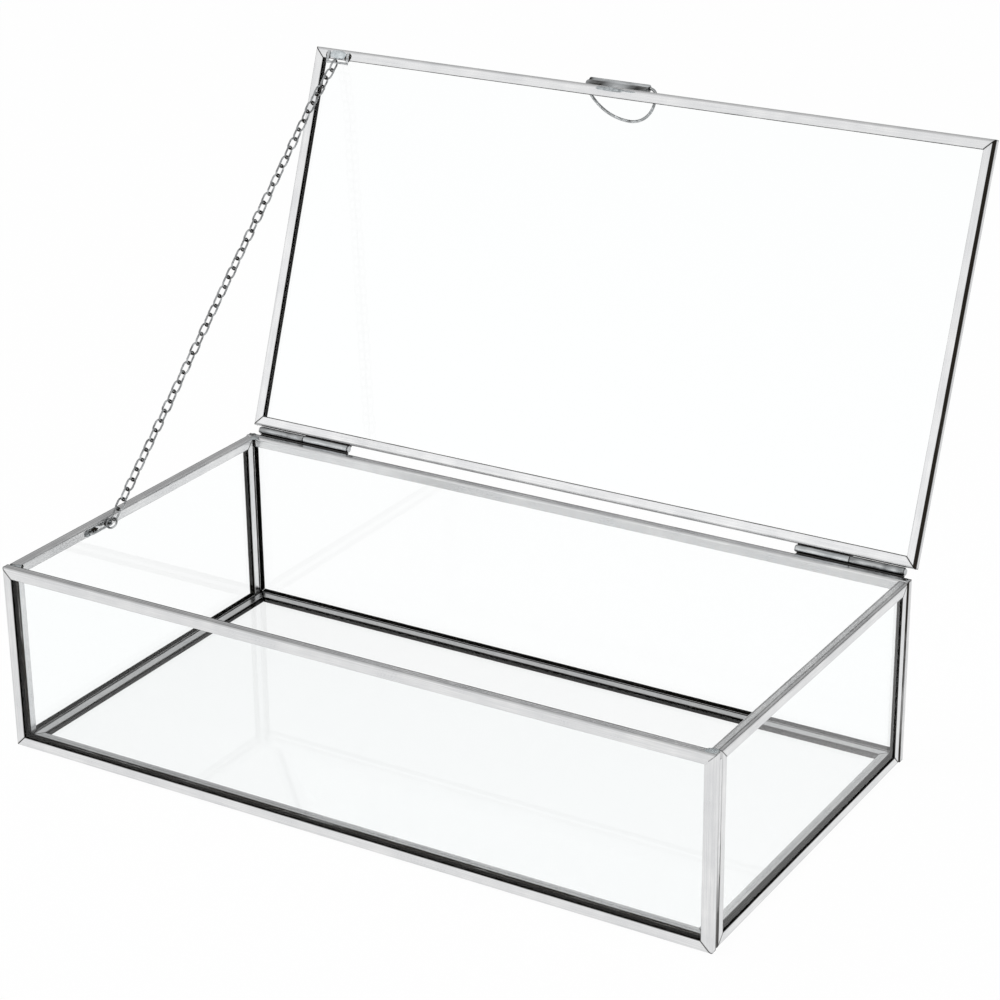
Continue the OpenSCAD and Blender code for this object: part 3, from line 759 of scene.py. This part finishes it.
def drops(name, body, blobs, place=Matrix.Identity(4)):
    """Several drops of solder in one object: each is (centre, radii, soot and painted shade), in
    millimetres.
    """
    shells = [put(place, blob_shell(*blob, number * 3.7)) for number, blob in enumerate(blobs)]
    piece(name, shells, [TIN_SOLDER], body, sharp=SOLDER_SHARP)


def make_solder():
    """Solder that shows: drops at corners and staples, and the filled seam of the front right post."""
    right, front, top = BOX_WIDTH / 2, FRONT, BOX_HEIGHT
    # Drops over the mitres of the four top corners, where two frames meet
    drops(
        "corner_solder",
        "case",
        [
            ((right - 2.4, front + 2.7, top - 0.12), (2.6, 2.0, 0.28), 0.04),
            # The small black drop at the front right corner is painted shade in a notch there
            ((right - 3.6, front + 0.6, top - 0.7), (0.5, 0.5, 0.45), 1.4),
            ((LEFT + STRIP_DEPTH - 0.05, front + 7.0, top - 1.5), (0.3, 0.75, 0.7), 1.3),
            ((LEFT + 3.4, front + 4.6, top - 0.3), (2.2, 1.6, 0.3), 0.2),
            ((LEFT + 4.6, -front - 4.4, top - 0.2), (2.2, 2.0, 0.4), 0.1),
            ((right - 2.2, -front - 2.0, top - 0.2), (1.3, 1.2, 0.42), 0.9),
            ((LEFT + 2.0, -front - 1.8, top - 0.15), (1.8, 1.6, 0.38), 0.7),
        ],
    )
    # Seam of the front right post, filled from the top, and painted darker towards its foot as the shade in
    # the groove
    fill = [(-0.95, -0.02), (0.95, -0.02), (0.3, -0.62), (-0.3, -0.62)]
    seam = run_shell(fill, BOX_HEIGHT - 2 * SEAM_INSET, lambda share: max(0, (0.45 - share) * 3.4), 12)
    seam_y = front + STRIP_DEPTH + FRAME_SEAM / 2
    stand = Matrix(((0, 0, 1, right - 0.06), (0, 1, 0, seam_y), (1, 0, 0, SEAM_INSET), (0, 0, 0, 1)))
    shells = [put(stand, seam)]
    piece("front_right_seam_solder", shells, [PLATED_STRIP], "case", sharp=SOLDER_SHARP)
    # Knobbly solder of the wall staple
    bar = FRONT + WALL_STAPLE_INSET
    inside = LEFT + STRIP_DEPTH
    drops(
        "wall_staple_solder",
        "case",
        [
            ((inside + 0.35, bar + 0.5, top - WALL_STAPLE_DROP), (0.8, 1.8, 1.4), 0.6),
            ((inside + 0.35, bar + WALL_STAPLE_LENGTH - 0.4, top - WALL_STAPLE_DROP), (0.8, 2.0, 1.5), 0.9),
            ((inside + 0.3, bar + 4.2, top - WALL_STAPLE_DROP - 0.1), (0.6, 2.0, 1.0), 1.1),
        ],
    )
    # Pad between the feet of the lid's staple, a smear under the pull tube, a black lump at the rear corner
    staple_x = LEFT + LID_STAPLE_INSET
    half = LID_STAPLE_LENGTH / 2
    drops(
        "lid_solder",
        "lid",
        [
            ((staple_x, front + 2.3, LID_UNDER), (half * 0.85, 1.7, 0.26), 0.1),
            ((staple_x - half + 0.4, front + 3.0, LID_UNDER), (1.1, 1.9, 0.27), 1.3),
            ((staple_x + half - 0.4, front + 3.0, LID_UNDER), (1.5, 1.9, 0.27), 1.3),
            ((-10.0, front + 1.15, LID_UNDER + 0.12), (7.5, 0.8, 0.26), 0.35),
            ((-1.5, front + 1.05, LID_UNDER + 0.12), (2.5, 0.4, 0.26), 0.3),
            ((LEFT + 1.3, -front - 1.3, LID_UNDER + 1.3), (1.3, 1.3, 0.85), 1.0),
        ],
        OPENED,
    )


# ---------------------------------------------------------------- carried-over nodes


def dress_nodes():
    """Panes, pins and staples keep their own shape and take a finish."""
    finishes = {"glass": CLEAR_GLASS, "pin": PLATED_WIRE, "staple": PLATED_WIRE}
    for name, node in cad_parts.items():
        for word, material in finishes.items():
            if name.endswith(word):
                node.data.materials.clear()
                node.data.materials.append(material)


# ---------------------------------------------------------------- studio


# How much of what the floor shows is plain white, its half size and how far it lies under the box, in metres
FLOOR_WHITE, FLOOR_HALF, FLOOR_DROP = 0.97, 6, 0.0003
ROOM_STRENGTH = 1.2


def make_floor():
    """Pale floor: white to the eye, with a faint soft shadow kept."""
    material, tree = new_material("pale_floor")
    matt = add(tree, "ShaderNodeBsdfDiffuse", {"Color": hex_colour("#EFEFEF")})
    white = add(tree, "ShaderNodeEmission", {"Color": hex_colour("#FFFFFF"), "Strength": 1})
    path = add(tree, "ShaderNodeLightPath").outputs
    looked_at = maths(tree, "MAXIMUM", path["Is Camera Ray"], path["Is Glossy Ray"])
    seen = maths(tree, "MAXIMUM", looked_at, path["Is Transmission Ray"])
    share = maths(tree, "MULTIPLY", seen, FLOOR_WHITE)
    add(tree, "ShaderNodeOutputMaterial", {"Surface": mix_shaders(tree, share, matt, white)})
    mesh = bpy.data.meshes.new("floor")
    corners = [(x * FLOOR_HALF, y * FLOOR_HALF, 0) for x, y in ((-1, -1), (1, -1), (1, 1), (-1, 1))]
    mesh.from_pydata(corners, [], [(0, 1, 2, 3)])
    mesh.materials.append(material)
    floor = bpy.data.objects.new("floor", mesh)
    bpy.context.scene.collection.objects.link(floor)
    floor.location.z = -FLOOR_DROP


def ramp(tree, value, stops):
    """Grey levels at these positions of the value, eased between them."""
    made = add(tree, "ShaderNodeValToRGB", {0: value})
    bar = made.color_ramp
    bar.interpolation = "EASE"
    while len(bar.elements) < len(stops):
        bar.elements.new(1)
    for element, (position, level) in zip(bar.elements, stops):
        element.position = position
        element.color = (level, level, level, 1)
    return made.outputs[0]


def make_world():
    """A white room to the eye. What the metal mirrors: a bright front, a darker band low at the back."""
    world = bpy.data.worlds.new("studio")
    world.use_nodes = True
    tree = world.node_tree
    tree.nodes.clear()
    towards = add(tree, "ShaderNodeTexCoord").outputs["Generated"]
    split = add(tree, "ShaderNodeSeparateXYZ", {0: towards}).outputs
    behind = ramp(tree, split["Z"], [(0, 0.03), (0.1, 0.06), (0.3, 0.4), (0.5, 0.46), (1, 0.55)])
    before = ramp(tree, split["Z"], [(0, 0.9), (0.2, 1.0), (0.45, 0.8), (1, 0.55)])
    sides = {"Value": split["Y"], "From Min": 0.35, "From Max": -0.35}
    front = add(tree, "ShaderNodeMapRange", sides, interpolation_type="SMOOTHSTEP").outputs[0]
    room = add(tree, "ShaderNodeBackground", {0: mix_colours(tree, front, behind, before), 1: ROOM_STRENGTH})
    plain = add(tree, "ShaderNodeBackground", {0: hex_colour("#FFFFFF"), 1: 1})
    # What is mirrored through a pane is the room as well
    path = add(tree, "ShaderNodeLightPath").outputs
    direct = maths(tree, "SUBTRACT", 1, path["Glossy Depth"], clamp=True)
    through = maths(tree, "MULTIPLY", path["Is Transmission Ray"], direct)
    seen = maths(tree, "MAXIMUM", path["Is Camera Ray"], through)
    add(tree, "ShaderNodeOutputWorld", {0: mix_shaders(tree, seen, room, plain)})
    bpy.context.scene.world = world


def softbox(name, at, aim, size, watts):
    """Soft lamp that lights the room and isn't mirrored."""
    light = bpy.data.lights.new(name, "AREA")
    light.shape = "RECTANGLE"
    light.size, light.size_y = size
    light.energy = watts
    lamp = bpy.data.objects.new(name, light)
    lamp.location = at
    lamp.rotation_euler = (Vector(aim) - Vector(at)).to_track_quat("-Z", "Y").to_euler()
    lamp.visible_glossy = False
    bpy.context.scene.collection.objects.link(lamp)


place_camera()
make_floor()
make_world()
softbox("softbox_above", (-0.4, -0.5, 1.9), (0, 0, 0.1), (1.4, 1.0), 12)
fold_frames()
make_pull()
make_chain()
make_hinges()
make_pull_tube()
make_solder()
dress_nodes()

bpy.context.scene.view_settings.view_transform = "Standard"
